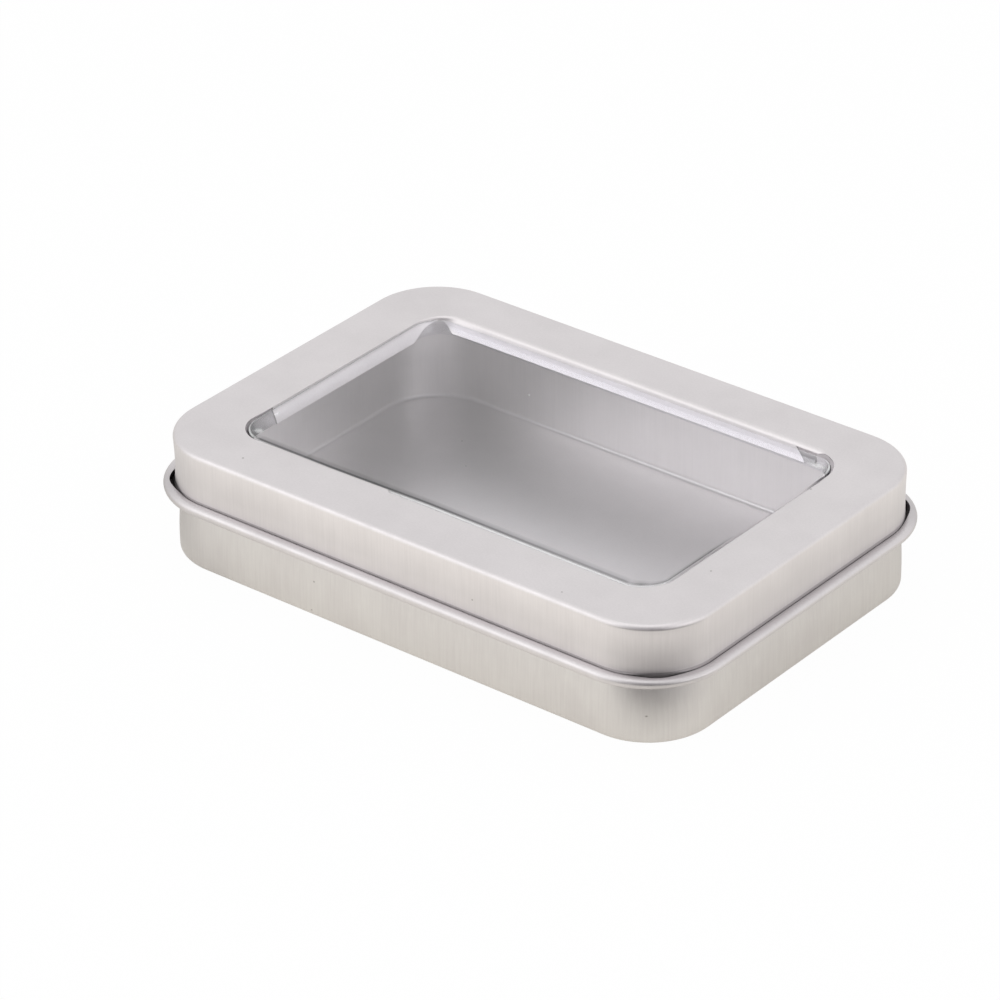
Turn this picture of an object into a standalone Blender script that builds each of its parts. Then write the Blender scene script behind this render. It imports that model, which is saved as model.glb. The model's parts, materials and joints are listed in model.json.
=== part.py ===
"""Small hinged tin with a clear window in its lid.

The tin is three pieces of thin sheet, each made the way the real one is pressed:
a drawn tinplate tray, a drawn tinplate lid whose window opening is cut and folded
out of its top, and a clear pane formed from plastic sheet that sits in the opening.
Two tabs of the tray's back wall pass through slots in the lid and curl round the
bead along the lid's lower edge, and that bead is the hinge pin.

Every piece is drawn as the middle surface of its sheet, and Solidify gives the sheet
its thickness. Lengths are in metres. The origin is the centre of the tray's underside,
+X runs along the tin, -Y is the front, +Y is the hinge side and +Z is up.
"""

import math

import bmesh
import bpy

# Sheet and fits
TINPLATE = 0.00022
PANE_SHEET = 0.00025
RUNNING_CLEARANCE = 0.00011
SEAT_GAP = 0.00005

# Outside of the lid
LID_LENGTH = 0.0880
LID_WIDTH = 0.0602
CLOSED_HEIGHT = 0.01783
PLAN_CORNER_RADIUS = 0.01017
LID_EDGE_RADIUS = 0.00073

# Bead curled out of the lid's lower edge, open a little wider round the corners
BEAD_RADIUS = 0.00090
BEAD_HEIGHT = 0.01003
BEAD_END_ON_SIDES = math.radians(110)
BEAD_END_AT_CORNERS = math.radians(60)

# Window opening: four flaps folded down, raw cut edges round the corners
OPENING_LENGTH = 0.0706
OPENING_WIDTH = 0.0437
OPENING_CORNER_RADIUS = 0.0048
FLAP_BEND_RADIUS = 0.00055
FLAP_DEPTH = 0.00235
FLAP_END_GAP = 0.0034
FLAP_TAPER = 0.0005

# Clear pane
PANE_CORNER_RADIUS = 0.0043
PANE_RECESS = 0.00010
PANE_EDGE_RADIUS = 0.00040
PANE_FOOT_RADIUS = 0.00035
PANE_LIP_RADIUS = 0.00060

# Tray
TRAY_EDGE_RADIUS = 0.00080
RIM_RADIUS = 0.00060
RIM_WRAP = math.radians(250)
RIM_HEIGHT_SHARE = 0.65

# Hinge tabs and their slots
TAB_WIDTH = 0.0070
TAB_SPACING = 0.0420
TAB_RELIEF = 0.00040
TAB_WRAP = math.radians(250)
SLOT_SIDE_CLEARANCE = 0.00030
SILL_SHARE = 1 / 3

# How finely the round stretches are divided
CORNER_STEPS = 9
EDGE_STEPS = 4
BEAD_STEPS = 12
RIM_STEPS = 11
BEND_STEPS = 3

# Sizes that follow from the ones above
HALF_LENGTH = LID_LENGTH / 2
HALF_WIDTH = LID_WIDTH / 2
HALF_SHEET = TINPLATE / 2
HALF_PANE = PANE_SHEET / 2
BEAD_OFFSET = BEAD_RADIUS - TINPLATE
AXIS_Y = HALF_WIDTH + BEAD_OFFSET
AXIS_Z = BEAD_HEIGHT
TAB_RADIUS = BEAD_RADIUS + RUNNING_CLEARANCE + HALF_SHEET
TRAY_OFFSET = -(TINPLATE + RUNNING_CLEARANCE + HALF_SHEET)
SLOT_HEAD = TAB_RADIUS + HALF_SHEET + RUNNING_CLEARANCE
SLOT_SILL = math.sqrt((BEAD_RADIUS + SILL_SHARE * RUNNING_CLEARANCE) ** 2 - BEAD_RADIUS ** 2)
FLANGE_TOP = CLOSED_HEIGHT - FLAP_DEPTH - SEAT_GAP
FLANGE_BOTTOM = FLANGE_TOP - PANE_SHEET
RIM_CENTRE_Z = AXIS_Z + RIM_HEIGHT_SHARE * (FLANGE_BOTTOM - AXIS_Z)
RIM_TOP = RIM_CENTRE_Z + RIM_RADIUS
LIP_BOTTOM = RIM_TOP + RUNNING_CLEARANCE

# A plan is a rounded rectangle: half length, half width and corner radius
LID_PLAN = (HALF_LENGTH, HALF_WIDTH, PLAN_CORNER_RADIUS)
OPENING_PLAN = (OPENING_LENGTH / 2, OPENING_WIDTH / 2, OPENING_CORNER_RADIUS)
HAT_INSET = FLAP_BEND_RADIUS + RUNNING_CLEARANCE
HAT_PLAN = (OPENING_LENGTH / 2 - HAT_INSET, OPENING_WIDTH / 2 - HAT_INSET, PANE_CORNER_RADIUS)

# The four sides and corners, counter-clockwise from the corner at +X +Y
BACK, LEFT, FRONT, RIGHT = range(4)
CORNER_SIGNS = ((1, 1), (-1, 1), (-1, -1), (1, -1))


def corner_stations(corner):
    """Places round one corner, each kept as its kind, corner and direction."""
    quarter = math.pi / 2
    return [("corner", corner, (corner + step / CORNER_STEPS) * quarter) for step in range(CORNER_STEPS + 1)]


def side_stations(side, places):
    """Places along one side, in the order in which the outline runs through them."""
    forwards = side in (FRONT, RIGHT)
    return [("side", side, place) for place in sorted(places, reverse=not forwards)]


def outline_stations(places_by_side=None):
    """All places round a rounded rectangle, with extra ones along the sides named."""
    places_by_side = places_by_side or {}
    stations = []
    for turn in range(4):
        stations += corner_stations(turn)
        stations += side_stations(turn, places_by_side.get(turn, ()))
    return stations


def on_plan(station, plan, offset):
    """The x and y of a place, on a plan moved outwards by the offset."""
    kind, index, value = station
    half_x, half_y, radius = (size + offset for size in plan)
    if kind == "corner":
        sign_x, sign_y = CORNER_SIGNS[index]
        x = sign_x * (half_x - radius) + radius * math.cos(value)
        y = sign_y * (half_y - radius) + radius * math.sin(value)
        return x, y
    return {
        BACK: (value, half_y),
        LEFT: (-half_x, value),
        FRONT: (value, -half_y),
        RIGHT: (half_x, value),
    }[index]


def arc(centre_offset, centre_z, radius, start, sweep, steps):
    """Points (offset, z) along an arc in the sheet's profile, with its first point left out."""
    points = []
    for step in range(1, steps + 1):
        angle = start + sweep * step / steps
        points.append((centre_offset + radius * math.cos(angle), centre_z + radius * math.sin(angle)))
    return points


def add_sheet(mesh, stations, plan, profile_at, has_face=None):
    """Sweep a profile round the outline and return its grid of corners, one row per profile point."""
    columns = []
    for station in stations:
        column = []
        for offset, z in profile_at(station):
            x, y = on_plan(station, plan, offset)
            column.append(mesh.verts.new((x, y, z)))
        columns.append(column)
    rows = list(zip(*columns))
    count = len(stations)
    for row in range(len(rows) - 1):
        for column in range(count):
            if has_face and not has_face(row, column):
                continue
            after = (column + 1) % count
            mesh.faces.new((rows[row][column], rows[row][after], rows[row + 1][after], rows[row + 1][column]))
    return rows


def ring_edges(mesh, ring):
    """The edges that join a closed ring of corners, made where there are none yet."""
    edges = []
    for index, corner in enumerate(ring):
        following = ring[(index + 1) % len(ring)]
        edge = mesh.edges.get((corner, following))
        edges.append(edge or mesh.edges.new((corner, following)))
    return edges


def sheet_object(name, mesh, thickness, material, collection):
    """Finish a sheet: drop unused corners, face it one way, and give it its thickness."""
    unused = [corner for corner in mesh.verts if not corner.link_faces]
    bmesh.ops.delete(mesh, geom=unused, context="VERTS")
    bmesh.ops.recalc_face_normals(mesh, faces=mesh.faces[:])
    data = bpy.data.meshes.new(name)
    mesh.to_mesh(data)
    mesh.free()
    data.shade_smooth()
    data.set_sharp_from_angle(angle=math.radians(35))
    data.materials.append(material)
    piece = bpy.data.objects.new(name, data)
    collection.objects.link(piece)
    solidify = piece.modifiers.new("sheet_thickness", "SOLIDIFY")
    solidify.thickness = thickness
    solidify.offset = 0
    solidify.use_even_offset = True
    solidify.use_rim = True
    return piece


def tab_centres():
    """Where the hinge tabs stand along the back wall."""
    return (-TAB_SPACING / 2, TAB_SPACING / 2)


def make_tray(material, collection):
    """Flat-bottomed tray with a curled-in rim and two hinge tabs curled out of its back wall."""
    half_tab = TAB_WIDTH / 2
    half_notch = half_tab + TAB_RELIEF
    places = []
    for centre in tab_centres():
        places += [centre - half_notch, centre - half_tab, centre + half_tab, centre + half_notch]
    stations = outline_stations({BACK: places})

    def in_tab(place, half_width):
        return any(abs(place - centre) < half_width for centre in tab_centres())

    edge_radius = TRAY_EDGE_RADIUS - HALF_SHEET
    rim_radius = RIM_RADIUS - HALF_SHEET
    lower = [(TRAY_OFFSET - edge_radius, HALF_SHEET)]
    lower += arc(TRAY_OFFSET - edge_radius, HALF_SHEET + edge_radius, edge_radius, -math.pi / 2, math.pi / 2, EDGE_STEPS)
    lower += [(TRAY_OFFSET, AXIS_Z)]
    rim = [(TRAY_OFFSET, RIM_CENTRE_Z)]
    rim += arc(TRAY_OFFSET - rim_radius, RIM_CENTRE_Z, rim_radius, 0, RIM_WRAP, RIM_STEPS)
    tab = arc(BEAD_OFFSET, AXIS_Z, TAB_RADIUS, math.pi, -TAB_WRAP, len(rim))

    def profile_at(station):
        kind, _, place = station
        is_tab = kind == "side" and in_tab(place, half_tab + TAB_RELIEF / 2)
        return lower + (tab if is_tab else rim)

    def has_face(row, column):
        """Leave the two narrow reliefs beside each tab open above the bead's height."""
        if row < len(lower) - 1:
            return True
        here, after = stations[column], stations[(column + 1) % len(stations)]
        if here[0] == "corner" or after[0] == "corner":
            return True
        middle = (here[2] + after[2]) / 2
        return in_tab(middle, half_tab) or not in_tab(middle, half_notch)

    mesh = bmesh.new()
    rows = add_sheet(mesh, stations, LID_PLAN, profile_at, has_face)
    mesh.faces.new(rows[0])
    return sheet_object("base_tray", mesh, TINPLATE, material, collection)


def make_lid(material, collection):
    """Lid with a rolled bead, two hinge slots, and a window opening with folded flaps."""
    top = CLOSED_HEIGHT - HALF_SHEET
    half_slot = TAB_WIDTH / 2 + SLOT_SIDE_CLEARANCE
    places = [centre + side * half_slot for centre in tab_centres() for side in (-1, 1)]
    stations = outline_stations({BACK: places})
    edge_radius = LID_EDGE_RADIUS - HALF_SHEET
    bead_radius = BEAD_RADIUS - HALF_SHEET
    skirt = [(-HALF_SHEET - edge_radius, top)]
    skirt += arc(-HALF_SHEET - edge_radius, top - edge_radius, edge_radius, math.pi / 2, -math.pi / 2, EDGE_STEPS)
    slot_row = len(skirt)
    skirt += [(-HALF_SHEET, AXIS_Z + SLOT_HEAD), (-HALF_SHEET, AXIS_Z + SLOT_SILL), (-HALF_SHEET, AXIS_Z)]

    def profile_at(station):
        """The bead stays more open in the middle of each corner."""
        kind, _, direction = station
        opening_up = math.sin(2 * direction) ** 2 if kind == "corner" else 0
        bead_end = BEAD_END_ON_SIDES + (BEAD_END_AT_CORNERS - BEAD_END_ON_SIDES) * opening_up
        return skirt + arc(BEAD_OFFSET, AXIS_Z, bead_radius, math.pi, math.pi + bead_end, BEAD_STEPS)

    def has_face(row, column):
        """Leave the slots open."""
        here, after = stations[column], stations[(column + 1) % len(stations)]
        if row != slot_row or here[0] == "corner" or after[0] == "corner":
            return True
        middle = (here[2] + after[2]) / 2
        return not any(abs(middle - centre) < half_slot for centre in tab_centres())

    mesh = bmesh.new()
    outer_rows = add_sheet(mesh, stations, LID_PLAN, profile_at, has_face)

    half_x, half_y, radius = OPENING_PLAN
    end_x = half_x - radius - FLAP_END_GAP
    end_y = half_y - radius - FLAP_END_GAP
    ends = {BACK: (-end_x, end_x), FRONT: (-end_x, end_x), LEFT: (-end_y, end_y), RIGHT: (-end_y, end_y)}
    opening = outline_stations(ends)
    bend = FLAP_BEND_RADIUS - HALF_SHEET
    flap = [(0, top)]
    flap += arc(0, top - bend, bend, math.pi / 2, math.pi / 2, BEND_STEPS)
    flap += [(-bend, CLOSED_HEIGHT - FLAP_DEPTH)]

    def is_flap(row, column):
        here, after = opening[column], opening[(column + 1) % len(opening)]
        return here[0] == "side" and after[0] == "side"

    inner_rows = add_sheet(mesh, opening, OPENING_PLAN, lambda station: flap, is_flap)
    for corner, station in zip(inner_rows[-1], opening):
        if station[0] == "side":
            inwards = -math.copysign(FLAP_TAPER, station[2])
            if station[1] in (BACK, FRONT):
                corner.co.x += inwards
            else:
                corner.co.y += inwards
    panel_edges = ring_edges(mesh, outer_rows[0]) + ring_edges(mesh, inner_rows[0])
    bmesh.ops.triangle_fill(mesh, use_beauty=True, edges=panel_edges)
    return sheet_object("lid_shell", mesh, TINPLATE, material, collection)


def make_pane(material, collection):
    """Clear hat-shaped pane: its raised middle fills the opening, its flange and lip fill the lid."""
    stations = outline_stations()
    top = CLOSED_HEIGHT - PANE_RECESS - HALF_PANE
    flange = FLANGE_TOP - HALF_PANE
    edge = PANE_EDGE_RADIUS - HALF_PANE
    foot = PANE_FOOT_RADIUS - HALF_PANE
    hat = [(-HALF_PANE - edge, top)]
    hat += arc(-HALF_PANE - edge, top - edge, edge, math.pi / 2, -math.pi / 2, EDGE_STEPS)
    hat += [(-HALF_PANE, flange + foot)]
    hat += arc(-HALF_PANE + foot, flange + foot, foot, math.pi, math.pi / 2, BEND_STEPS)
    lip_face = -(TINPLATE + RUNNING_CLEARANCE + HALF_PANE)
    lip = PANE_LIP_RADIUS - HALF_PANE
    rim = [(lip_face - lip, flange)]
    rim += arc(lip_face - lip, flange - lip, lip, math.pi / 2, -math.pi / 2, BEND_STEPS)
    rim += [(lip_face, LIP_BOTTOM)]

    mesh = bmesh.new()
    hat_rows = add_sheet(mesh, stations, HAT_PLAN, lambda station: hat)
    rim_rows = add_sheet(mesh, stations, LID_PLAN, lambda station: rim)
    mesh.faces.new(hat_rows[0])
    flange_edges = ring_edges(mesh, hat_rows[-1]) + ring_edges(mesh, rim_rows[0])
    bmesh.ops.bridge_loops(mesh, edges=flange_edges)
    return sheet_object("window_pane", mesh, PANE_SHEET, material, collection)


def principled(name, colour, metallic, roughness, alpha=1):
    """A plain Principled BSDF material."""
    material = bpy.data.materials.new(name)
    material.use_nodes = True
    shader = material.node_tree.nodes["Principled BSDF"]
    shader.inputs["Base Color"].default_value = (*colour, 1)
    shader.inputs["Metallic"].default_value = metallic
    shader.inputs["Roughness"].default_value = roughness
    shader.inputs["Alpha"].default_value = alpha
    return material


def clear_scene():
    """Start from an empty scene."""
    for thing in list(bpy.data.objects):
        bpy.data.objects.remove(thing, do_unlink=True)


def main():
    clear_scene()
    tin = bpy.data.collections.new("hinged_window_tin")
    bpy.context.scene.collection.children.link(tin)
    tray_tinplate = principled("tray_tinplate", (0.60, 0.58, 0.56), 1, 0.45)
    lid_tinplate = principled("lid_tinplate", (0.64, 0.62, 0.61), 1, 0.42)
    clear_sheet = principled("clear_sheet", (0.92, 0.93, 0.95), 0, 0.05, 0.3)

    hinge = bpy.data.objects.new("lid_hinge_axis", None)
    hinge.location = (0, AXIS_Y, AXIS_Z)
    tin.objects.link(hinge)

    make_tray(tray_tinplate, tin)
    for piece in (make_lid(lid_tinplate, tin), make_pane(clear_sheet, tin)):
        piece.parent = hinge
        piece.location = (0, -AXIS_Y, -AXIS_Z)


main()
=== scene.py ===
# %% [markdown]
# # A hinged window tin
#
# The object is a small pressed tin: a drawn tray, a drawn lid that turns on the bead along
# its own lower edge, and a clear pane formed from plastic film. It has no print and no
# ornament, so its look rests on three things: crisp thin sheet, the dark slits where one
# sheet passes another, and satin metal that mirrors a white studio softly.
#
# The working model comes in first and stays untouched. Each piece made here takes its
# place and size from it, and moves with the body it names.

# %% Load the working model
import math

import bmesh
import bpy
from mathutils import Matrix, Vector
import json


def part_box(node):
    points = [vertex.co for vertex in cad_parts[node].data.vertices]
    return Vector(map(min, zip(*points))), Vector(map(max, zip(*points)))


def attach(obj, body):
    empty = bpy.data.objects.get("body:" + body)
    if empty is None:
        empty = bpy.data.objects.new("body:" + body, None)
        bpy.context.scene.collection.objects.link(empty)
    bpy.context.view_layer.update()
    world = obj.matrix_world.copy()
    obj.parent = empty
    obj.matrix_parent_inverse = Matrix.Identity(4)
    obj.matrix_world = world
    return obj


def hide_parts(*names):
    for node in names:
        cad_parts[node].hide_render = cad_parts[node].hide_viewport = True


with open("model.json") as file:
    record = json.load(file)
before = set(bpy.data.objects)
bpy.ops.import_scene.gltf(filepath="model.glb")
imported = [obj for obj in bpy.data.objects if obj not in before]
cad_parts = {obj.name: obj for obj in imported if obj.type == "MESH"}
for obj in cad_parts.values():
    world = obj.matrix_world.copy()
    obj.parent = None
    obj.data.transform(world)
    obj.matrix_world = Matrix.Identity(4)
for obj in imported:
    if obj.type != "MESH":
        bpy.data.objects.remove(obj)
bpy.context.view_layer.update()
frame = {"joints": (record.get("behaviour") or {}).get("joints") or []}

# %% [markdown]
# ## Reading the sizes
#
# Blender works in metres and the tin is pressed to tenths of a millimetre, so every
# size here is written as a number of millimetres times MM. What the working model
# already knows is read from its boxes and its hinge, and is not typed again: the
# closed height, the bead's axis and radius, and how far the tray stands inside the lid.

# %% Sizes of the tin
MM = 0.001

SHEET = 0.22 * MM
BEAD_OFFSET = 0.68 * MM
PLAN_CORNER = 10.17 * MM
LID_EDGE = 0.73 * MM
TRAY_EDGE = 0.80 * MM

hinge_axis = Vector(frame["joints"][0]["pos_m"])
lid_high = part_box("lid_shell")[1]
tray_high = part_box("base_tray")[1]
pane_low, pane_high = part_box("window_pane")

LID_TOP = lid_high.z
BEAD_Z = hinge_axis.z
BEAD_RADIUS = lid_high.y - hinge_axis.y
HALF_WIDTH = hinge_axis.y - BEAD_OFFSET
HALF_LENGTH = lid_high.x - BEAD_RADIUS - BEAD_OFFSET
TRAY_INSET = HALF_LENGTH - tray_high.x
TAB_OUTER_RADIUS = tray_high.y - hinge_axis.y

LID_PLAN = (HALF_LENGTH, HALF_WIDTH, PLAN_CORNER)
print(f"lid {2e3 * HALF_LENGTH:.1f} x {2e3 * HALF_WIDTH:.1f} x {1e3 * LID_TOP:.2f} mm,",
      f"bead radius {1e3 * BEAD_RADIUS:.2f} mm")

# %% [markdown]
# ## The camera
#
# Product photographs of small things are taken from well back with a long lens, which
# is why the far edges here hardly shrink. A camera is placed by the direction it looks
# from, its distance and a small roll, and is then slid sideways and up in its own
# picture plane, so that no lens shift is needed.

# %% Place the camera
def add_object(name, data):
    """An object with this data, linked into the scene."""
    made = bpy.data.objects.new(name, data)
    bpy.context.scene.collection.objects.link(made)
    return made


CAMERA_AZIMUTH = 39.025
CAMERA_ELEVATION = 29.862
CAMERA_ROLL = math.radians(-0.7215)
CAMERA_DISTANCE = 696.08 * MM
CAMERA_SLIDE_RIGHT = -5.147 * MM
CAMERA_SLIDE_UP = 8.211 * MM
LENS_FOR_SENSOR = 185.157
SENSOR_WIDTH = 36.0


def towards(azimuth, elevation):
    """The direction that lies this many degrees to the right of the front, and this many up."""
    turn, rise = math.radians(azimuth), math.radians(elevation)
    return Vector((math.sin(turn) * math.cos(rise), -math.cos(turn) * math.cos(rise), math.sin(rise)))


def make_camera():
    """A camera on a sphere round the tin, looking at the middle of its underside."""
    back = towards(CAMERA_AZIMUTH, CAMERA_ELEVATION)
    turn = back.to_track_quat("Z", "Y").to_matrix()
    roll = turn @ Vector((math.cos(CAMERA_ROLL), math.sin(CAMERA_ROLL), 0))
    upright = back.cross(roll)
    data = bpy.data.cameras.new("product_camera")
    data.sensor_width = SENSOR_WIDTH
    data.lens = LENS_FOR_SENSOR
    data.clip_start = 10 * MM
    camera = add_object("product_camera", data)
    camera.matrix_world = Matrix((roll, upright, back)).transposed().to_4x4()
    camera.location = CAMERA_DISTANCE * back + CAMERA_SLIDE_RIGHT * roll + CAMERA_SLIDE_UP * upright
    return camera


bpy.context.scene.camera = make_camera()
print("camera at", [round(v, 4) for v in bpy.context.scene.camera.location])

# %% [markdown]
# ## Going round a rounded rectangle
#
# Every piece of a drawn tin is the same idea: one cross-section of the sheet, carried
# round a rounded rectangle. A curve with a bevel could do that, but it can't change its
# section on the way, and this tin does so everywhere: the bead opens up at the corners,
# the flaps stop short of them, and the tabs curl only at two places. So the outline is a
# list of stations, and a function gives the section at each of them.
#
# What changes on the way is written as pairs, a place and the value there, and is read in
# straight lines between them. The place is mostly the walk round, which counts 0 to 1 in
# the back right corner, 1 to 2 along the back, and so on to 8.

# %% Stations round an outline
# Each side follows a corner: the signs of that corner, and the side's outward direction.
SIDES = {
    "back": ((1, 1), (0, 1)),
    "left": ((-1, 1), (-1, 0)),
    "front": ((-1, -1), (0, -1)),
    "right": ((1, -1), (1, 0)),
}
CORNER_STEPS = 28
SIDE_SPACING = 0.9 * MM


class Station:
    """One place on an outline: its point, its outward direction, its side or corner, and its walk.

    Along is its x or y on a side, and the outward direction's angle in a corner.
    """

    def __init__(self, x, y, out_x, out_y, part, along, walk):
        self.x, self.y = x, y
        self.out_x, self.out_y = out_x, out_y
        self.part, self.along, self.walk = part, along, walk

    def at(self, offset, z):
        """The point in space this far outwards, at this height."""
        return (self.x + offset * self.out_x, self.y + offset * self.out_y, z)

    def facing(self, side):
        """1 where the outline faces this side, falling to 0 a quarter turn away."""
        out_x, out_y = SIDES[side][1]
        return max(0, self.out_x * out_x + self.out_y * out_y) ** 2

    def into_corner(self):
        """0 along the sides, rising to 1 in the middle of a corner."""
        return math.sin(2 * self.along) ** 2 if self.part == "corner" else 0


def evenly(low, high, wanted):
    """Places from low to high, with every wanted place kept and even steps between them."""
    stops = [low, *sorted(w for w in wanted if low < w < high), high]
    places = []
    for start, end in zip(stops, stops[1:]):
        steps = max(1, round((end - start) / SIDE_SPACING))
        places += [start + (end - start) * step / steps for step in range(steps)]
    return places[1:]


def outline(plan, wanted=None, corner_steps=CORNER_STEPS):
    """Stations counter-clockwise round a plan, from the corner at +X +Y."""
    half_x, half_y, radius = plan
    wanted = wanted or {}
    stations = []
    for turn, (side, (signs, outward)) in enumerate(SIDES.items()):
        corner_x, corner_y = (half_x - radius) * signs[0], (half_y - radius) * signs[1]
        for step in range(corner_steps + 1):
            angle = (turn + step / corner_steps) * math.pi / 2
            out_x, out_y = math.cos(angle), math.sin(angle)
            x, y = corner_x + radius * out_x, corner_y + radius * out_y
            walk = 2 * turn + step / corner_steps
            stations.append(Station(x, y, out_x, out_y, "corner", angle, walk))
        lengthwise = side in ("back", "front")
        reach = (half_x if lengthwise else half_y) - radius
        places = evenly(-reach, reach, wanted.get(side, ()))
        start = -reach
        if side in ("back", "left"):
            places.reverse()
            start = reach
        out_x, out_y = outward
        for place in places:
            walk = 2 * turn + 1 + abs(place - start) / (2 * reach)
            x = place if lengthwise else out_x * half_x
            y = out_y * half_y if lengthwise else place
            stations.append(Station(x, y, out_x, out_y, side, place, walk))
    return stations


print("stations round the lid:", len(outline(LID_PLAN)))


# %% Lines and values of a section
def arc(centre, radius, start, sweep, steps):
    """Points (offset, z) along an arc of the section, without its first point."""
    angles = [start + sweep * step / steps for step in range(1, steps + 1)]
    return [(centre[0] + radius * math.cos(a), centre[1] + radius * math.sin(a)) for a in angles]


def straight(start, end, steps):
    """Points along a straight stretch of the section, without its first point."""
    shares = [step / steps for step in range(1, steps + 1)]
    return [(start[0] + (end[0] - start[0]) * s, start[1] + (end[1] - start[1]) * s) for s in shares]


def between(place, knots):
    """The value at a place on a line through (place, value) pairs, level beyond its ends."""
    if place <= knots[0][0]:
        return knots[0][1]
    for (start, low), (end, high) in zip(knots, knots[1:]):
        if place <= end:
            return low + (high - low) * (place - start) / (end - start)
    return knots[-1][1]


def mix(low, high, share):
    """The value that lies this share of the way from low to high."""
    return low + (high - low) * share


def swell(share):
    """1 in the middle of a stretch, falling to 0 at both its ends and beyond them."""
    return math.sin(math.pi * min(1, max(0, share)))


print("half of a quarter turn:", [round(v, 3) for v in arc((0, 0), 1, 0, math.pi / 4, 1)[0]])

# %% [markdown]
# ## From middle surface to sheet
#
# The section is the line down the middle of the metal. Solidify then grows it half the
# thickness to each side and closes the cut edges, so a piece is a real sheet with two
# faces. Its cut edges are marked sharp afterwards, because a sheared edge is square and
# catches its own thin line of light.
#
# A finish that depends on where on the section it lies is easiest to place here, while
# the section is known. So each corner of the mesh can carry marks, numbers with a name,
# and the material reads them later as an attribute. On the metal, "rubbed" goes from 0
# to 1, and a second mark holds painted light and shade: the colour is painted brighter
# above 0 and darker below it.

# %% Sweep a section and give it thickness
CREASE = math.radians(38)
OUTSIDE, INSIDE = 0, 1


def sweep(mesh, stations, section_at, has_face=None):
    """Faces between the sections of neighbouring stations; returns the rings of corners."""
    columns = [[mesh.verts.new(s.at(*point)) for point in section_at(s)] for s in stations]
    rings = list(zip(*columns))
    for row in range(len(rings) - 1):
        for column, here in enumerate(stations):
            after = (column + 1) % len(stations)
            if has_face and not has_face(row, here, stations[after]):
                continue
            mesh.faces.new((rings[row][column], rings[row][after],
                            rings[row + 1][after], rings[row + 1][column]))
    return rings


def blank(*marks):
    """An empty mesh whose corners can hold these marks."""
    mesh = bmesh.new()
    for name in marks:
        mesh.verts.layers.float.new(name)
    return mesh


def mark(mesh, name, stations, rings, value_at):
    """Give every corner of a swept surface its value of this mark."""
    layer = mesh.verts.layers.float[name]
    for row, ring in enumerate(rings):
        for station, corner in zip(stations, ring):
            corner[layer] = value_at(row, station)


def fill_between(mesh, outer, inner):
    """Close the flat stretch between two rings with triangles."""
    edges = []
    for ring in (outer, inner):
        for corner, following in zip(ring, (*ring[1:], ring[0])):
            edges.append(mesh.edges.get((corner, following)) or mesh.edges.new((corner, following)))
    bmesh.ops.triangle_fill(mesh, use_beauty=True, edges=edges)


def as_piece(name, mesh):
    """Turn what was drawn into an object, without the corners that no face uses."""
    loose = [corner for corner in mesh.verts if not corner.link_faces]
    bmesh.ops.delete(mesh, geom=loose, context="VERTS")
    bmesh.ops.recalc_face_normals(mesh, faces=mesh.faces[:])
    data = bpy.data.meshes.new(name)
    mesh.to_mesh(data)
    mesh.free()
    for face in (OUTSIDE, INSIDE):
        data.materials.append(None)
    return add_object(name, data)


def finish_sheet(name, mesh, thickness):
    """Grow a middle surface into a closed sheet of this thickness, smooth but for its cut edges."""
    piece = as_piece(name, mesh)
    solidify = piece.modifiers.new("sheet_thickness", "SOLIDIFY")
    solidify.thickness = thickness
    solidify.offset = 0
    solidify.use_even_offset = True
    solidify.material_offset = INSIDE
    graph = bpy.context.evaluated_depsgraph_get()
    solid = bpy.data.meshes.new_from_object(piece.evaluated_get(graph))
    piece.modifiers.clear()
    piece.data = solid
    solid.shade_smooth()
    solid.set_sharp_from_angle(angle=CREASE)
    print(name, "faces:", len(solid.polygons))
    return piece


# %% [markdown]
# ## The tray
#
# The tray is drawn from one blank: flat floor, tight bottom edge, straight wall, and a
# rim curled inwards so that no cut edge meets a finger. Two tabs are cut from the back
# wall and curled round the lid's bead. Beside each tab the wall is cut away down to the
# bead's height, which is what lets the tab stand free.

# %% The tray's section
TAB_WRAP = math.radians(250)
RIM_RADIUS = 0.60 * MM
RIM_CENTRE_Z = 13.38 * MM
RIM_WRAP = math.radians(250)
TRAY_EDGE_STEPS = 8
WALL_STEPS = 10
UPPER_WALL_STEPS = 2
RIM_STEPS = 22


def tray_lines():
    """The three lines of the tray's section: floor to bead height, on up to the rim, or the tab."""
    wall = -(TRAY_INSET + SHEET / 2)
    edge = TRAY_EDGE - SHEET / 2
    floor_end = (wall - edge, SHEET / 2)
    lower = [(floor_end[0] - edge, floor_end[1]), floor_end]
    lower += arc((floor_end[0], floor_end[1] + edge), edge, -math.pi / 2, math.pi / 2, TRAY_EDGE_STEPS)
    lower += straight(lower[-1], (wall, BEAD_Z), WALL_STEPS)
    rim_radius = RIM_RADIUS - SHEET / 2
    rim = straight(lower[-1], (wall, RIM_CENTRE_Z), UPPER_WALL_STEPS)
    rim += arc((wall - rim_radius, RIM_CENTRE_Z), rim_radius, 0, RIM_WRAP, RIM_STEPS)
    tab = arc((BEAD_OFFSET, BEAD_Z), TAB_OUTER_RADIUS - SHEET / 2, math.pi, -TAB_WRAP, len(rim))
    return lower, rim, tab


LOWER_LINE, RIM_LINE, TAB_LINE = tray_lines()
print("tray section points:", len(LOWER_LINE), "and", len(RIM_LINE))

# %% The tray's sheet
TAB_CENTRES = (-21.0 * MM, 21.0 * MM)
TAB_HALF_WIDTH = 3.5 * MM
TAB_RELIEF = 0.40 * MM
NOTCH_HALF_WIDTH = TAB_HALF_WIDTH + TAB_RELIEF
WALL_LEAN_AT_FOOT = math.radians(-1)
WALL_LEAN_AT_BEAD = math.radians(6)
CORNER_LEAN_AT_BEAD = math.radians(9)
# Painted shade on the wall of the tray's corners, by height, and a darker colour on the tabs.
DARKER_ON_TABS = -1.4
PAINTED_SHADE_IN_TRAY_CORNERS = ((1.0 * MM, 0.0), (3.5 * MM, -0.6), (6.5 * MM, -0.8), (9.0 * MM, -0.1))


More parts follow.
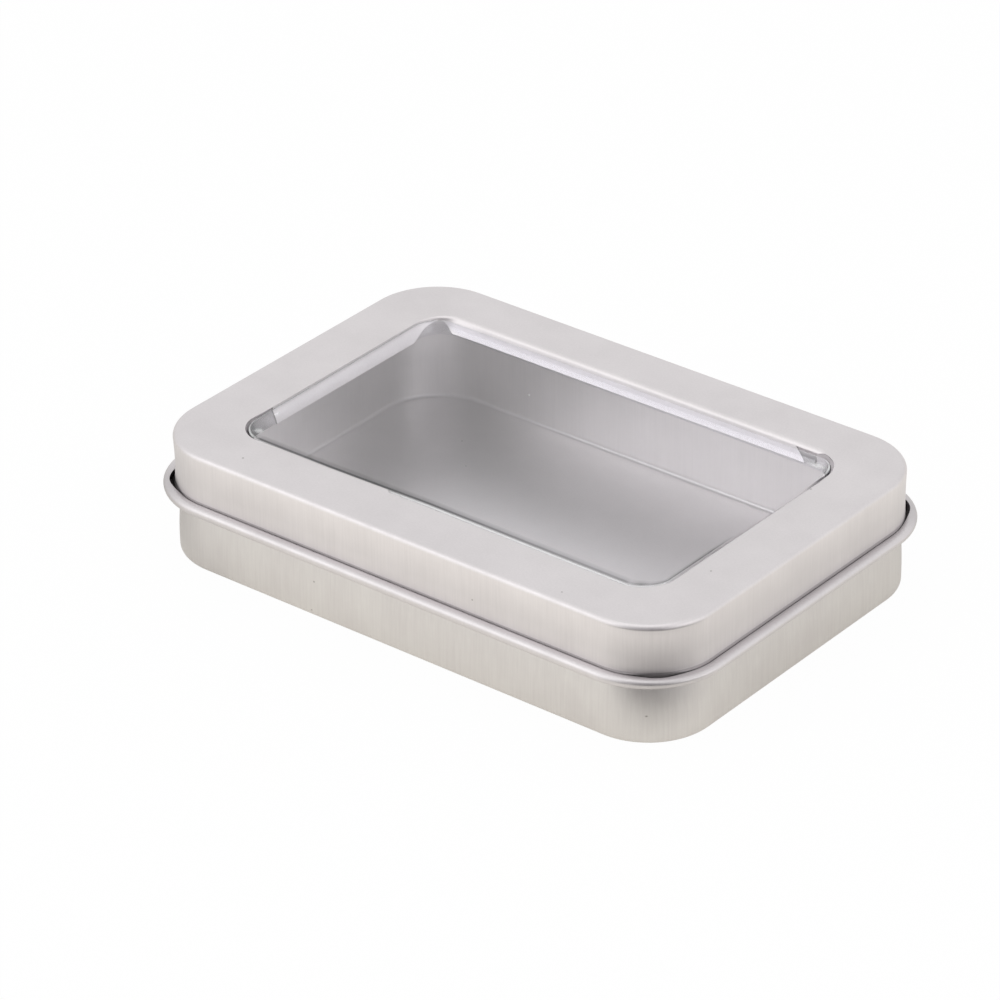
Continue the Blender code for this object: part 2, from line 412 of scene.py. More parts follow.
def beside_tab(along, half_width):
    """True where this place on the back wall is within this distance of a tab's middle."""
    return any(abs(along - centre) < half_width for centre in TAB_CENTRES)


def drawn_in(station, z):
    """How far the tray's wall has leant in at this height: up to the bead, and not at the hinge."""
    height = max(0, min(z, BEAD_Z) - TRAY_EDGE)
    foot = math.tan(WALL_LEAN_AT_FOOT)
    lean = mix(WALL_LEAN_AT_BEAD, CORNER_LEAN_AT_BEAD, station.into_corner())
    growth = (math.tan(lean) - foot) / (BEAD_Z - TRAY_EDGE)
    return (1 - station.facing("back")) * height * (foot + growth * height / 2)


def tray_section(station):
    """The tray's middle line at this station, with a tab or the rim on top."""
    curls_out = station.part == "back" and beside_tab(station.along, TAB_HALF_WIDTH + TAB_RELIEF / 2)
    points = LOWER_LINE + (TAB_LINE if curls_out else RIM_LINE)
    return [(offset - drawn_in(station, z), z) for offset, z in points]


def tray_has_face(row, here, after):
    """Leave the notch open on both sides of each tab, from the bead's height upwards."""
    if row < len(LOWER_LINE) - 1 or here.part != "back" or after.part != "back":
        return True
    middle = (here.along + after.along) / 2
    return beside_tab(middle, TAB_HALF_WIDTH) or not beside_tab(middle, NOTCH_HALF_WIDTH)


def painted_shade_on_tray(row, station):
    """Darker on the tabs, and painted shade on the wall of the corners."""
    if row < len(LOWER_LINE):
        return station.into_corner() * between(LOWER_LINE[row][1], PAINTED_SHADE_IN_TRAY_CORNERS)
    on_tab = station.part == "back" and beside_tab(station.along, NOTCH_HALF_WIDTH)
    return DARKER_ON_TABS if on_tab else 0


def rubbed_on_tray(row, station):
    """Most along the middle of the bottom edge, which slides on the table."""
    return swell(row / (1 + TRAY_EDGE_STEPS))


def make_tray():
    """The tray with its two tabs, in one sheet."""
    half_widths = (TAB_HALF_WIDTH, NOTCH_HALF_WIDTH)
    cuts = [centre + side * w for centre in TAB_CENTRES for side in (-1, 1) for w in half_widths]
    stations = outline(LID_PLAN, {"back": cuts})
    mesh = blank("rubbed", "painted_light")
    rings = sweep(mesh, stations, tray_section, tray_has_face)
    mark(mesh, "rubbed", stations, rings, rubbed_on_tray)
    mark(mesh, "painted_light", stations, rings, painted_shade_on_tray)
    mesh.faces.new(rings[0])
    return finish_sheet("tray_sheet", mesh, SHEET)


tray = make_tray()

# %% [markdown]
# ## The lid
#
# The lid is drawn the other way up. Its lower edge is rolled outwards into a bead that
# closes on the skirt along the sides, and stays open in the middle of each corner, where
# the metal has to stretch and the roll falls short. The middle of its top is cut out, and
# the four sides of the cut are folded down as flaps. The fold can't follow a tight corner,
# so there the raw cut edge stays nearly flat.

# %% The lid's outside: edge, skirt and bead
BEAD_END_ON_SIDES = math.radians(137)
BEAD_END_AT_CORNERS = math.radians(88)
BEAD_OPENING_SHARPNESS = 3
BEAD_HEIGHT_SHARE = 0.77
BEAD_HEIGHT_SHARE_ON_RIGHT = 0.52
SKIRT_WAIST = 0.03 * MM
SKIRT_WAIST_AT_CORNERS = 0.15 * MM
SLOT_HALF_WIDTH = 3.8 * MM
SLOT_HEAD = 1.34 * MM
SLOT_SILL = 0.26 * MM
EDGE_STEPS = 10
SKIRT_STEPS = 6
BEAD_STEPS = 34
SLOT_ROW = 1 + EDGE_STEPS + SKIRT_STEPS
BEAD_ROW = SLOT_ROW + 2
# Painted light up the lid's skirt, by height, strongest just under the top edge, and painted shade on the
# bead in the corners.
PAINTED_LIGHT_UP_THE_SKIRT = (
    (13.5 * MM, 0.0), (15.0 * MM, 0.4), (17.1 * MM, 0.95), (17.3 * MM, 0.9), (17.6 * MM, 0.0),
)
PAINTED_SHADE_IN_BEAD_CORNERS = -1.3
BEAD_RUB_SHARPNESS = 4


def bead_end(station):
    """How far round the bead is rolled: its edge stands highest where it closes best."""
    opening_up = station.into_corner() ** BEAD_OPENING_SHARPNESS
    return mix(BEAD_END_ON_SIDES, BEAD_END_AT_CORNERS, opening_up)


def waist(station, z):
    """How far the skirt is drawn in above the bead: most in the corners, and not at the hinge."""
    reach = mix(SKIRT_WAIST, SKIRT_WAIST_AT_CORNERS, station.into_corner())
    return (1 - station.facing("back")) * reach * swell((z - BEAD_Z) / (LID_TOP - LID_EDGE - BEAD_Z))


def flattened(station, z):
    """The roll is pressed down from above, most along the right end."""
    share = mix(BEAD_HEIGHT_SHARE, BEAD_HEIGHT_SHARE_ON_RIGHT, station.facing("right"))
    return BEAD_Z + share * (z - BEAD_Z) if z > BEAD_Z else z


def lid_section(station):
    """The lid's middle line at this station, from the panel over the edge, down and round the bead."""
    top = LID_TOP - SHEET / 2
    edge = LID_EDGE - SHEET / 2
    skirt = -SHEET / 2
    points = [(skirt - 2 * edge, top), (skirt - edge, top)]
    points += arc((skirt - edge, top - edge), edge, math.pi / 2, -math.pi / 2, EDGE_STEPS)
    points += straight(points[-1], (skirt, BEAD_Z + SLOT_HEAD), SKIRT_STEPS)
    points += [(skirt, BEAD_Z + SLOT_SILL), (skirt, BEAD_Z)]
    points = [(offset - waist(station, z), z) for offset, z in points]
    bead_radius = BEAD_RADIUS - SHEET / 2
    roll = arc((BEAD_OFFSET, BEAD_Z), bead_radius, math.pi, math.pi + bead_end(station), BEAD_STEPS)
    return points + [(offset, flattened(station, z)) for offset, z in roll]


def lid_has_face(row, here, after):
    """Leave the two slots open that the tray's tabs pass through."""
    if row != SLOT_ROW or here.part != "back" or after.part != "back":
        return True
    return not beside_tab((here.along + after.along) / 2, SLOT_HALF_WIDTH)


def painted_light_on_lid(row, station):
    """Painted light towards the top of the skirt, and painted shade on the bead in the corners."""
    if row >= BEAD_ROW:
        return PAINTED_SHADE_IN_BEAD_CORNERS * station.into_corner()
    return between(lid_section(station)[row][1], PAINTED_LIGHT_UP_THE_SKIRT)


def rubbed_on_lid(row, station):
    """Most on the top edge and on the outermost line of the bead."""
    in_crevice = swell((row - BEAD_ROW - 1) / BEAD_STEPS) ** BEAD_RUB_SHARPNESS
    return max(swell((row - 1) / EDGE_STEPS), in_crevice)


print("lid section points:", len(lid_section(outline(LID_PLAN)[0])))

# %% [markdown]
# The window's edges are where a quick press shows. Each flap leaves its fold at one lean
# and reaches its cut edge at another, and that lean decides what it mirrors, so the same
# strip of metal is bright at the back and dark at the front. The cut wanders by a few
# tenths of a millimetre, and only one corner folded right round. Those departures are
# listed here side by side.

# %% The lid's window opening
OPENING_PLAN = (35.3 * MM, 21.85 * MM, 4.8 * MM)
OPENING_CORNER_STEPS = 16
FOLD_STEPS = 6
FLAP_STEPS = 8
FLAP_ROW = 2 + FOLD_STEPS
FLAP_DEPTH = 2.35 * MM
LEAST_FLAP_SHARE = 0.06

# By side: how much of the full depth the flap has, its fold, its leans in degrees, and the painted light
# on it.
FLAP_SHARES = {"back": 0.83, "left": 0.89, "front": 1.0, "right": 1.0}
FOLD_RADII = {"back": 0.95 * MM, "left": 0.24 * MM, "front": 0.25 * MM, "right": 0.35 * MM}
FOLD_STARTS = {"back": 0.80 * MM, "left": 0.15 * MM, "front": 0.0, "right": 0.25 * MM}
LEAN_AT_FOLD = {"back": 28.5, "left": 15, "front": 0, "right": 0}
LEAN_AT_MIDDLE = {"back": 32, "left": 42, "front": 8, "right": 5}
LEAN_AT_CUT = {"back": 45, "left": 24, "front": 15, "right": 10}
PAINTED_LIGHT_ON_FLAPS = {"back": 0.6, "left": 1.0}
MIDDLE_SHARE = 1 / 3

# The back flap leans further at its left end, by degrees at each x.
BACK_LEAN_BY_X = ((-31 * MM, 8), (-26 * MM, 1), (24 * MM, -2))
BACK_LEAN_SHARES = (1.0, 0.5, 0.0)

# Where each flap ends, and how far its cut end runs on along the side, at full depth.
FLAP_ENDS = {
    "back": (-31.0 * MM, 26.9 * MM),
    "left": (-13.3 * MM, 18.0 * MM),
    "front": (-27.1 * MM, 27.1 * MM),
    "right": (-13.6 * MM, 13.6 * MM),
}
FLAP_END_SLANT = {
    "back": (0.0, 2.6 * MM),
    "left": (-0.6 * MM, 0.0),
    "front": (0.5 * MM, -0.5 * MM),
    "right": (0.5 * MM, -0.5 * MM),
}
SLANT_SPREAD = 3

# How much of the fold's turn is made, by walk: the fold runs out in three of the corners.
FOLD_TURN = (
    (0.0, 0.3), (0.3, 0.12), (0.7, 0.12), (1.0, 1.0), (3.9, 1.0), (4.1, 0.3), (4.5, 0.12),
    (4.9, 0.3), (5.05, 1.0), (5.95, 1.0), (6.3, 0.3), (6.7, 0.3), (7.1, 1.0), (7.9, 1.0), (8.0, 0.3),
)
START_PER_TURN = 1.5
CUT_BACK = ((0.0, 0.0), (0.2, 0.16 * MM), (0.45, 0.08 * MM), (0.7, 0.0))

# The panel droops to its right edge, and the front fold wanders into the opening.
PANEL_RING = 1.15 * MM
DROOP_START = 1.0 * MM
DROOP_ON_RIGHT = ((0.0, 0.17 * MM), (0.2, 0.0), (6.8, 0.0), (7.0, 0.17 * MM))
FRONT_DRIFT = (
    (-30.5 * MM, 0.0), (-27 * MM, 0.22 * MM), (-18 * MM, 0.26 * MM), (-8.3 * MM, 0.52 * MM),
    (-7.7 * MM, -0.02 * MM), (-6.2 * MM, 0.16 * MM), (-5.4 * MM, 0.0), (-4.2 * MM, 0.10 * MM),
    (30.5 * MM, 0.0),
)

# The two flaps of the folded corner are mitred, down to this direction.
APEX = math.radians(128)
BACK_MITRE = 2.0 * MM
LEFT_MITRE = 6.0 * MM


def by_side(station, values):
    """The value of the side that this station faces, mixed smoothly round the corners."""
    return sum(station.facing(side) * value for side, value in values.items())


def fold_drift(station):
    """How far the fold wanders into the opening."""
    return between(station.along, FRONT_DRIFT) if station.part == "front" else 0


def flap_share(station):
    """How much of its full depth the flap has: it is mitred towards the back left corner."""
    half_x, half_y, radius = OPENING_PLAN
    if station.part == "corner":
        past_apex = radius * (station.along - APEX)
    elif station.part == "back":
        past_apex = -radius * (APEX - math.pi / 2) - max(0, station.x + half_x - radius)
    else:
        past_apex = radius * (math.pi - APEX) + max(0, half_y - radius - station.y)
    return min(1, past_apex / LEFT_MITRE if past_apex > 0 else -past_apex / BACK_MITRE)


def has_flap(station):
    """True where the cut edge is folded down: along the sides, and round one corner."""
    slack = MM / 1000
    if station.part == "corner":
        return station.x < 0 < station.y
    low, high = FLAP_ENDS[station.part]
    return low - slack <= station.along <= high + slack


def opening_section(station):
    """The panel's edge, its fold and its flap, from the panel down to the cut edge."""
    top = LID_TOP - SHEET / 2
    fold = by_side(station, FOLD_RADII) - SHEET / 2
    turn = between(station.walk, FOLD_TURN)
    start = by_side(station, FOLD_STARTS) - fold_drift(station)
    start = start * min(1, START_PER_TURN * turn) + between(station.walk, CUT_BACK)
    extra = station.facing("back") * between(station.x, BACK_LEAN_BY_X)
    at_fold, at_middle, at_cut = [
        math.radians(by_side(station, values) + extra * share)
        for values, share in zip((LEAN_AT_FOLD, LEAN_AT_MIDDLE, LEAN_AT_CUT), BACK_LEAN_SHARES)
    ]
    points = [(PANEL_RING, top), (DROOP_START, top)]
    top -= between(station.walk, DROOP_ON_RIGHT)
    points.append((start, top))
    points += arc((start, top - fold), fold, math.pi / 2, turn * (math.pi / 2 - at_fold), FOLD_STEPS)
    offset, z = points[-1]
    depth_share = max(LEAST_FLAP_SHARE, by_side(station, FLAP_SHARES) * flap_share(station))
    step = depth_share * (z - (LID_TOP - FLAP_DEPTH)) / FLAP_STEPS
    for index in range(FLAP_STEPS):
        middle_of_step = depth_share * (index + 0.5) / FLAP_STEPS
        lean = between(middle_of_step, ((0, at_fold), (MIDDLE_SHARE, at_middle), (1, at_cut)))
        offset, z = offset - math.tan(lean) * step, z - step
        points.append((offset, z))
    return points


print("opening section points:", len(opening_section(outline(OPENING_PLAN)[0])))


# %% The lid's sheet
def opening_has_face(row, here, after):
    """The panel and the fold go all the way round, and the flap only where there is one."""
    return row < FLAP_ROW or (has_flap(here) and has_flap(after))


def painted_light_on_flap(row, station):
    """Painted light on the back and left flaps."""
    return by_side(station, PAINTED_LIGHT_ON_FLAPS) if row > FLAP_ROW else 0


def slant_flap_end(station, column):
    """Cut a flap's end at a slant: below the fold its end column moves along the side."""
    if station.part == "corner":
        return
    axis = 0 if station.part in ("back", "front") else 1
    fold_end = column[FLAP_ROW].co.z
    reach = fold_end - (LID_TOP - FLAP_DEPTH)
    for end, slant in zip(FLAP_ENDS[station.part], FLAP_END_SLANT[station.part]):
        distance = abs(station.along - end)
        if distance >= SLANT_SPREAD * abs(slant):
            continue
        fade = 1 - distance / (SLANT_SPREAD * abs(slant))
        for corner in column[FLAP_ROW + 1:]:
            corner.co[axis] += slant * fade * (fold_end - corner.co.z) / reach


def make_lid():
    """The lid's outside and its window opening, joined by the flat panel, in one sheet."""
    mesh = blank("rubbed", "painted_light")
    slots = [centre + side * SLOT_HALF_WIDTH for centre in TAB_CENTRES for side in (-1, 1)]
    edge_stations = outline(LID_PLAN, {"back": slots})
    outer = sweep(mesh, edge_stations, lid_section, lid_has_face)
    mark(mesh, "rubbed", edge_stations, outer, rubbed_on_lid)
    mark(mesh, "painted_light", edge_stations, outer, painted_light_on_lid)

    wanted = {side: list(ends) for side, ends in FLAP_ENDS.items()}
    wanted["front"] += [place for place, drift in FRONT_DRIFT]
    stations = outline(OPENING_PLAN, wanted, OPENING_CORNER_STEPS)
    inner = sweep(mesh, stations, opening_section, opening_has_face)
    mark(mesh, "painted_light", stations, inner, painted_light_on_flap)
    for station, column in zip(stations, zip(*inner)):
        slant_flap_end(station, column)
    fill_between(mesh, outer[0], inner[0])
    return finish_sheet("lid_sheet", mesh, SHEET)


lid = make_lid()

# %% [markdown]
# ## The pane
#
# The window is clear PET film about a quarter of a millimetre thick, warm-formed over a
# block: a raised flat that fills the opening, a small step down all round, and a flange
# with a turned lip that the lid's skirt holds. From above only the raised flat shows,
# and its tight edges are the bright lines beside the folds.
#
# The film is drawn as one surface, its outer face, and the finish does the work of both.
# A path of light may pass only eight clear faces in Cycles, and a look through the film
# at a folded edge and out again would take just that many if the film had two.
#
# Where the film turns down, its bend is painted: first painted shade, for the dark where the
# bend turns light away and the shadowed gap beside it, then a painted white highlight.
# Both are marks on the mesh, by how far the bend has turned, and they differ along the
# window because the film doesn't sit evenly.

# %% The pane's section and the marks of its bend
PANE_CORNER = 4.1 * MM
PANE_PLAN_INSET = 0.50 * MM
PANE_LEAN = math.radians(27)
PANE_FOOT = 0.35 * MM
PANE_LIP = 0.60 * MM
FLANGE_TOP = LID_TOP - FLAP_DEPTH - 0.05 * MM
LIP_FACE = -(SHEET + 0.11 * MM)
BEND_STEPS = 16
PANE_WALL_STEPS = 3
FOOT_STEPS = 6
LIP_STEPS = 8

# The gap between the opening's cut and the film, and the radius of the film's bend, in mm, by walk.
PANE_GAPS = (
    (0.0, 0.32), (0.3, 0.36), (0.7, 0.42), (1.0, 0.70), (2.0, 0.70), (3.0, 0.15), (4.0, 0.25),
    (4.5, 0.40), (5.074, 0.28), (5.205, 0.30), (5.467, 0.72), (5.631, 0.68), (5.762, 0.62),
    (5.959, 0.58), (6.5, 0.50), (7.0, 0.15), (7.8, 0.15), (8.0, 0.50),
)
PANE_BENDS = (
    (0.0, 0.40), (0.6, 0.50), (1.0, 0.80), (2.0, 0.80), (3.0, 0.45), (4.0, 0.45), (4.6, 0.50),
    (5.0, 0.80), (6.5, 0.80), (7.0, 0.35), (8.0, 0.40),
)

# Each zone of a mark goes by the degrees that the bend has turned, times what it has by walk.
# Painted shade along the film's bend, for the dark where it turns light away and the shadowed gap beside
# the metal.
PAINTED_SHADE_ON_SIDES = (
    ((-7, 0.0), (0, 0.5), (8, 0.85), (14, 1.0), (27, 1.0), (35, 0.0)),
    ((2.0, 0.0), (3.0, 0.08), (3.9, 0.15), (4.1, 0.1), (4.7, 0.1), (5.0, 0.9), (5.33, 1.0), (5.5, 0.90),
     (5.7, 0.70), (5.9, 0.58), (6.0, 0.6), (6.15, 0.3), (6.4, 0.7), (6.6, 0.4), (6.9, 0.6), (7.26, 0.8),
     (7.42, 0.0)),
)
# Painted shade deep in the open gaps at two corners.
PAINTED_SHADE_IN_OPEN_GAP = (
    ((50, 0.0), (62, 1.0)),
    ((0.0, 0.8), (0.3, 1.0), (0.6, 0.6), (0.75, 0.0), (3.9, 0.0), (4.1, 1.0), (4.9, 1.0), (5.0, 0.0),
     (7.85, 0.0), (8.0, 0.8)),
)
# A painted white highlight on the film's bend, along the sides and round the corners.
PAINTED_HIGHLIGHT_ON_SIDES = (
    ((31, 0.0), (41, 1.0), (62, 1.0), (80, 0.0)),
    ((1.0, 0.0), (2.0, 0.1), (2.5, 0.4), (3.0, 0.9), (3.9, 1.0), (4.2, 0.0), (4.8, 0.0),
     (5.0, 0.8), (6.9, 0.8), (7.1, 0.0)),
)
PAINTED_HIGHLIGHT_AT_CORNERS = (
    ((8, 0.0), (18, 1.0), (36, 1.0), (48, 0.0)),
    ((0.0, 0.3), (0.25, 1.0), (0.5, 0.8), (0.75, 0.0), (3.9, 0.0), (4.1, 0.8), (4.7, 0.8), (5.0, 0.0),
     (7.9, 0.0), (8.0, 0.3)),
)


def hat_section(station):
    """The film from its flat, round the bend and down its wall to the foot."""
    gap, bend = [between(station.walk, knots) * MM for knots in (PANE_GAPS, PANE_BENDS)]
    outermost, top = PANE_PLAN_INSET - gap, pane_high.z
    middle = outermost - bend
    points = [(middle - bend, top), (middle, top)]
    points += arc((middle, top - bend), bend, math.pi / 2, -math.pi / 2 - PANE_LEAN, BEND_STEPS)
    offset, z = points[-1]
    fall = z - (FLANGE_TOP + PANE_FOOT)
    foot = offset - math.tan(PANE_LEAN) * fall
    points += straight(points[-1], (foot, z - fall), PANE_WALL_STEPS)
    return points + arc((foot + PANE_FOOT, z - fall), PANE_FOOT, math.pi, math.pi / 2, FOOT_STEPS)


def bend_mark(*zones):
    """A mark on the film's bend, which takes at each place what its strongest zone gives."""
    whole = math.degrees(math.pi / 2 + PANE_LEAN)

    def value_at(row, station):
        turned = whole * min(1, (row - 1) / BEND_STEPS)
        return max(between(turned, by_turn) * between(station.walk, by_walk)
                   for by_turn, by_walk in zones)

    return value_at


print(f"flange at {1e3 * FLANGE_TOP:.2f} mm, {1e3 * (pane_high.z - FLANGE_TOP):.2f} mm below the flat")


# %% The pane's surface
def make_pane():
    """The raised hat and the turned lip, joined by the flange, in one surface."""
    lip_start = LIP_FACE - PANE_LIP
    rim = [(lip_start, FLANGE_TOP)]
    rim += arc((lip_start, FLANGE_TOP - PANE_LIP), PANE_LIP, math.pi / 2, -math.pi / 2, LIP_STEPS)
    rim += [(rim[-1][0], pane_low.z)]
    half_x, half_y, radius = OPENING_PLAN
    stations = outline((half_x - PANE_PLAN_INSET, half_y - PANE_PLAN_INSET, PANE_CORNER))
    mesh = blank("bend_painted_shade", "bend_painted_highlight")
    hat_rings = sweep(mesh, stations, hat_section)
    mark(mesh, "bend_painted_shade", stations, hat_rings, bend_mark(PAINTED_SHADE_ON_SIDES, PAINTED_SHADE_IN_OPEN_GAP))
    mark(mesh, "bend_painted_highlight", stations, hat_rings, bend_mark(PAINTED_HIGHLIGHT_ON_SIDES, PAINTED_HIGHLIGHT_AT_CORNERS))
    rim_rings = sweep(mesh, outline(LID_PLAN), lambda station: rim)
    mesh.faces.new(hat_rings[0])
    fill_between(mesh, hat_rings[-1], rim_rings[0])
    piece = as_piece("pane_film", mesh)
    piece.data.shade_smooth()
    print("pane_film faces:", len(piece.data.polygons))
    return piece


pane = make_pane()

# %% [markdown]
# ## Colours and nodes
#
# A colour picked on a screen is an sRGB value, and a shader wants linear light, so one
# function turns the one into the other. Another adds a node, sets what is special about
# it, and fills its inputs. Every finish below is built from those two.


# %% Helpers for finishes
def linear(hex_colour):
    """An sRGB hex colour as the linear values that a shader reads."""
    values = [int(hex_colour[i:i + 2], 16) / 255 for i in (1, 3, 5)]
    return (*[v / 12.92 if v <= 0.04045 else ((v + 0.055) / 1.055) ** 2.4 for v in values], 1.0)


def add_node(tree, kind, inputs=None, **settings):
    """Add a node with its settings and inputs, values or other nodes' outputs; returns its outputs."""
    node = tree.nodes.new("ShaderNode" + kind)
    for name, value in settings.items():
        setattr(node, name, value)
    for key, value in (inputs or {}).items():
        if isinstance(value, bpy.types.NodeSocket):
            tree.links.new(value, node.inputs[key])
        else:
            node.inputs[key].default_value = value
    return node.outputs


def empty_material(name):
    """A material and its node tree, with nothing in it yet."""
    material = bpy.data.materials.new(name)
    material.use_nodes = True
    material.node_tree.nodes.clear()
    return material, material.node_tree


def spots(tree, place, patches):
    """1 inside any of these soft ellipsoids and 0 outside: each a centre and half sizes, in mm."""
    found = None
    for patch in patches:
        apart = place
        for values, operation in ((patch[:3], "SUBTRACT"), (patch[3:], "DIVIDE")):
            inputs = {0: apart, 1: [v * MM for v in values]}
            apart = add_node(tree, "VectorMath", inputs, operation=operation)[0]
        far = add_node(tree, "VectorMath", {0: apart}, operation="LENGTH")["Value"]
        inside = add_node(tree, "MapRange", {
            "Value": far, "From Min": 0.1, "To Min": 1.0, "To Max": 0.0,
        }, interpolation_type="SMOOTHSTEP")["Result"]
        if found:
            inside = add_node(tree, "Math", {0: found, 1: inside}, operation="MAXIMUM")[0]
        found = inside
    return found


print("mid grey as linear light:", [round(v, 3) for v in linear("#808080")])

# %% [markdown]
# ## Tinplate
#
# Tinplate is thin steel, electro-coated with tin and here melted to a satin. Light meets
# metal only, so the shader is fully metallic and its base colour is simply how much the
# tin sends back: a pale grey, a touch warm. What the eye reads as tin is the rest: a soft,
# even gloss, faint upright streaks where the wall was drawn through the die, a broad
# mottling, and a few pinhead pits.
#
# A drawn wall is bowed by less than its own thickness. No outline shows that, but it
# mirrors the floor at another slant at each height, so a bump bows the normal there.
#
# The two faces of a sheet have a finish each. The bead turns the sheet over and shows its
# inner face, and the slit above it the outer one, where painted shade darkens the band of
# the bead's height. The tray's inside is the palest, painted light for the light bounced
# from wall to wall inside it.

# %% Patterns in the tinplate
# The grain is drawn coarser than the real one, so that it shows at this distance.
GRAIN_WIDTH = 0.30 * MM
STREAK_LENGTH = 9.0 * MM
MOTTLE_SIZE = 7.0 * MM
RUB_SIZE = 2.5 * MM


def die_streaks(tree, place):
    """Grain that is drawn out upright, from 0 to 1."""
    drawn_out = add_node(tree, "Mapping", {
        "Vector": place, "Scale": (1, 1, GRAIN_WIDTH / STREAK_LENGTH),
    })["Vector"]
    return add_node(tree, "TexNoise", {
        "Vector": drawn_out, "Scale": 1 / GRAIN_WIDTH, "Detail": 3.0, "Roughness": 0.6,
    })["Fac"]


def tone_of_metal(tree, place, streaks):
    """Where the metal is of its lighter grey: the streaks and a broad mottling together."""
    mottle = add_node(tree, "TexNoise", {
        "Vector": place, "Scale": 1 / MOTTLE_SIZE, "Detail": 4.0, "Roughness": 0.55,
    })["Fac"]
    tone = add_node(tree, "Math", {0: streaks, 1: mottle}, operation="ADD")[0]
    return add_node(tree, "MapRange", {"Value": tone, "From Min": 0.7, "From Max": 1.3})["Result"]


def rubbed_patches(tree, place):
    """The rubbed edges of the mesh, broken up into patches."""
    patches = add_node(tree, "TexNoise", {
        "Vector": place, "Scale": 1 / RUB_SIZE, "Detail": 5.0, "Roughness": 0.7,
    })["Fac"]
    patches = add_node(tree, "MapRange", {"Value": patches, "From Min": 0.35, "From Max": 0.65})["Result"]
    rubbed = add_node(tree, "Attribute", attribute_name="rubbed")["Fac"]
    return add_node(tree, "Math", {0: rubbed, 1: patches}, operation="MULTIPLY")[0]


def wall_bow(tree, height, foot, radius):
    """A normal for a wall that is bowed to this radius, upright at its foot."""
    above = add_node(tree, "Math", {0: height, 1: foot}, operation="SUBTRACT")[0]
    bowed = add_node(tree, "Math", {0: above, 1: above}, operation="MULTIPLY")[0]
    bowed = add_node(tree, "Math", {0: bowed, 1: -2 * radius}, operation="DIVIDE")[0]
    return add_node(tree, "Bump", {"Height": bowed, "Strength": 1.0, "Distance": 1.0})["Normal"]


print("streaks are", round(STREAK_LENGTH / GRAIN_WIDTH), "times as long as wide")

# %% Tinplate material
GLOSS_SPREAD = 0.02
RUBBED_ROUGHENS = 0.10
# How strongly the painted light and shade mark brightens or darkens the colour.
PAINTED_LIGHT_GAIN = 0.15
STREAK_DEPTH = 0.02 * MM
LID_PITS = (
    (-28.99, -26.50, LID_TOP / MM, 0.22, 0.22, 0.3),
    (37.98, -12.17, LID_TOP / MM, 0.20, 0.20, 0.3),
    (26.10, -27.93, LID_TOP / MM, 0.18, 0.18, 0.3),
    (35.60, 13.00, LID_TOP / MM, 0.30, 0.25, 0.5),
    (13.06, -HALF_WIDTH / MM, 12.9, 0.17, 0.5, 0.17),
)
TRAY_PITS = (
    (-14.30, -29.6, 5.5, 0.20, 0.6, 0.20),
    (-14.80, -29.6, 1.0, 0.18, 0.6, 0.18),
    (39.60, -28.0, 4.3, 0.25, 0.6, 0.20),
)


def make_tinplate(name, light, dark, roughness, bow=None, pits=(), crevice_shade=None):
    """Satin tinplate: two close greys, streaks, mottling, pits, rubbed edges, and painted light and
    shade.
    """
    material, tree = empty_material(name)
    place = add_node(tree, "TexCoord")["Object"]
    height = add_node(tree, "SeparateXYZ", {0: place})["Z"]
    streaks = die_streaks(tree, place)
    gloss = add_node(tree, "MapRange", {
        "Value": streaks, "From Min": 0.25, "From Max": 0.75,
        "To Min": roughness - GLOSS_SPREAD, "To Max": roughness + GLOSS_SPREAD,
    })["Result"]
    rubbed = rubbed_patches(tree, place)
    gloss = add_node(tree, "Math", {0: rubbed, 1: RUBBED_ROUGHENS, 2: gloss}, operation="MULTIPLY_ADD")[0]

    colour = add_node(tree, "Mix", {
        "Factor": tone_of_metal(tree, place, streaks), "A": linear(dark), "B": linear(light),
    }, data_type="RGBA")["Result"]
    # Painted light and shade: the mark scales the colour up where light is painted in, and down where
    # shade is.
    painted_light = add_node(tree, "Attribute", attribute_name="painted_light")["Fac"]
    painted_gain = add_node(tree, "Math", {0: painted_light, 1: PAINTED_LIGHT_GAIN, 2: 1.0}, operation="MULTIPLY_ADD")[0]
    colour = add_node(tree, "VectorMath", {0: colour, "Scale": painted_gain}, operation="SCALE")[0]
    # Painted shade over the bead's height, which darkens the slit above the bead and the hidden face of
    # the roll.
    if crevice_shade:
        in_crevice = add_node(tree, "Math", {0: height, 1: BEAD_Z, 2: BEAD_RADIUS}, operation="COMPARE")[0]
        colour = add_node(tree, "Mix", {
            "Factor": in_crevice, "A": colour, "B": linear(crevice_shade),
        }, data_type="RGBA", blend_type="MULTIPLY")["Result"]
    if pits:
        colour = add_node(tree, "Mix", {
            "Factor": spots(tree, place, pits), "A": colour, "B": linear("#8A8482"),
        }, data_type="RGBA")["Result"]

    relief = {"Height": streaks, "Strength": 0.03, "Distance": STREAK_DEPTH}
    if bow:
        relief["Normal"] = wall_bow(tree, height, *bow)
    metal = add_node(tree, "BsdfPrincipled", {
        "Base Color": colour, "Metallic": 1.0, "Roughness": gloss,
        "Normal": add_node(tree, "Bump", relief)["Normal"],
    })[0]
    add_node(tree, "OutputMaterial", {"Surface": metal})
    return material


lid_tinplate = make_tinplate(
    "satin_tinplate_lid", "#D9D5D6", "#D1CDCE", 0.40,
    bow=(14.2 * MM, -38 * MM), pits=LID_PITS, crevice_shade="#E0E0E0")
lid_inside = make_tinplate("satin_tinplate_lid_inside", "#D9D5D6", "#D1CDCE", 0.40)
tray_tinplate = make_tinplate(
    "satin_tinplate_tray", "#D6D3D1", "#CDC9C8", 0.42, bow=(1.2 * MM, 55 * MM), pits=TRAY_PITS)
# The tray's inside is a paler copy of its tinplate: painted light for the light bounced from wall to wall
# in it.
inside_painted_light = make_tinplate("tinplate_inside_painted_light", "#F2EFEF", "#ECE9E9", 0.45)
print("tinplate:", lid_tinplate.name, tray_tinplate.name, inside_painted_light.name)

